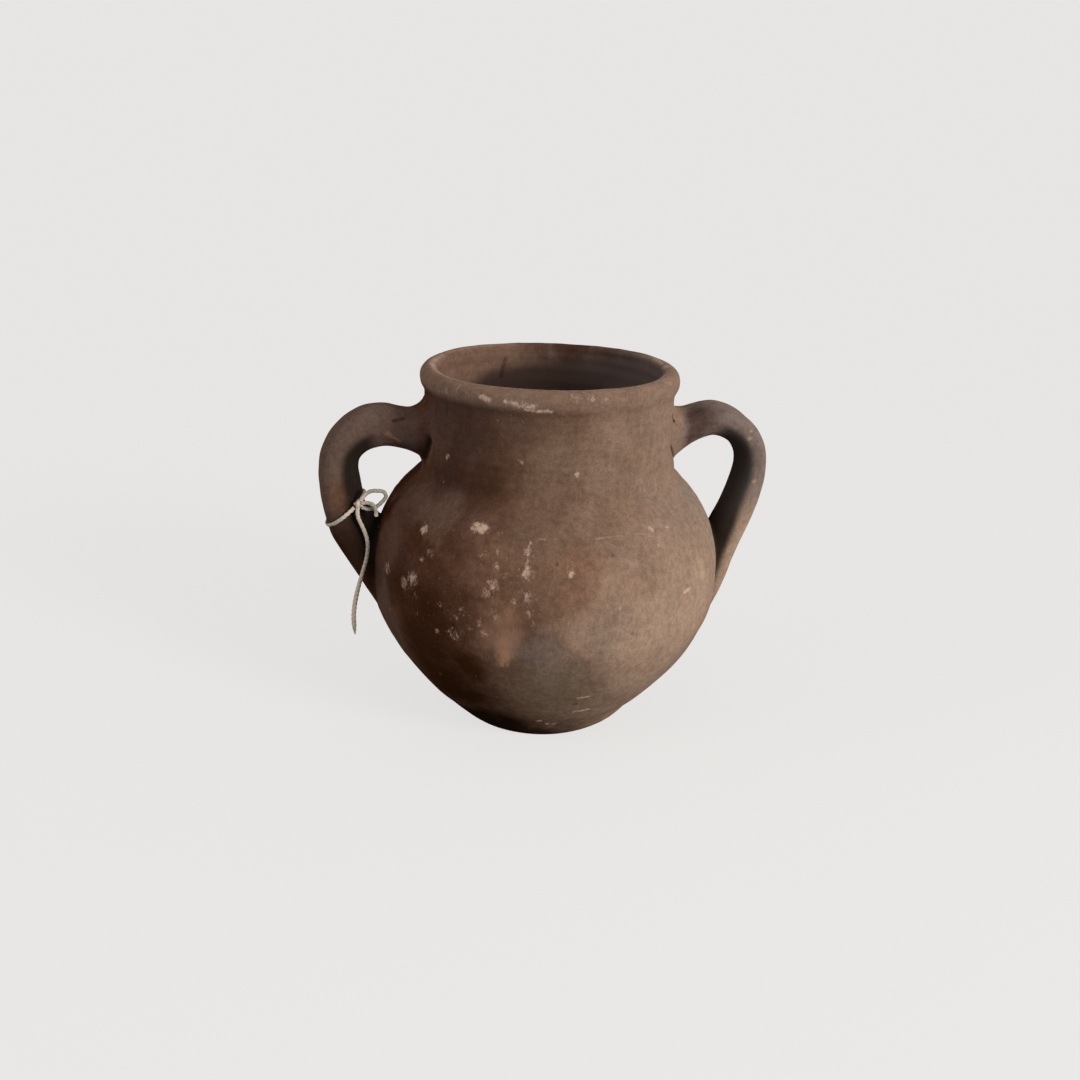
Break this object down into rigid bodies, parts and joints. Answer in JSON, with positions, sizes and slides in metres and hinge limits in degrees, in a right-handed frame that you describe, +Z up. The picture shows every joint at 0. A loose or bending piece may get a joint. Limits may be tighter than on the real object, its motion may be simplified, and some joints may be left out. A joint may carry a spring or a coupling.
{
  "type": "clay olla",
  "caption": "Unglazed round-bellied clay olla with a wide neck, rolled rim and strap handles, a string tied round a handle; it stands on its foot and holds food or water.",
  "frame": {"origin": "centre of the flat face that the pot stands on", "axes": "+Z up through the mouth, +X from the left handle to the right handle, -Y towards the front where the string hangs"},
  "size_m": [0.2783, 0.215, 0.225],
  "materials": {
    "clay": "matte unglazed earthenware, smoke clouded",
    "string": "undyed twisted fibre"
  },
  "bodies": {
    "pot": {"base_slab": "clay", "lower_belly": "clay", "upper_belly": "clay", "shoulder_ring": "clay", "neck_collar": "clay", "rim_coil": "clay", "left_handle": "clay", "right_handle": "clay", "left_neck_pad": "clay", "right_neck_pad": "clay"},
    "string_tie": {"string_ring": "string", "string_knot": "string", "string_bow": "string", "string_stub": "string"},
    "string_end": {"string_tail": "string"}
  },
  "joints": [
    {"name": "string_slip", "type": "hinge", "parent": "pot", "child": "string_tie", "pos_m": [-0.04225, 0, 0.15975], "axis": [0, 1, 0], "range_deg": [-3, 9]},
    {"name": "tail_lift", "type": "hinge", "parent": "string_tie", "child": "string_end", "pos_m": [-0.11594, -0.01489, 0.14329], "axis": [-1, 0, 0], "range_deg": [0, 110]}
  ]
}
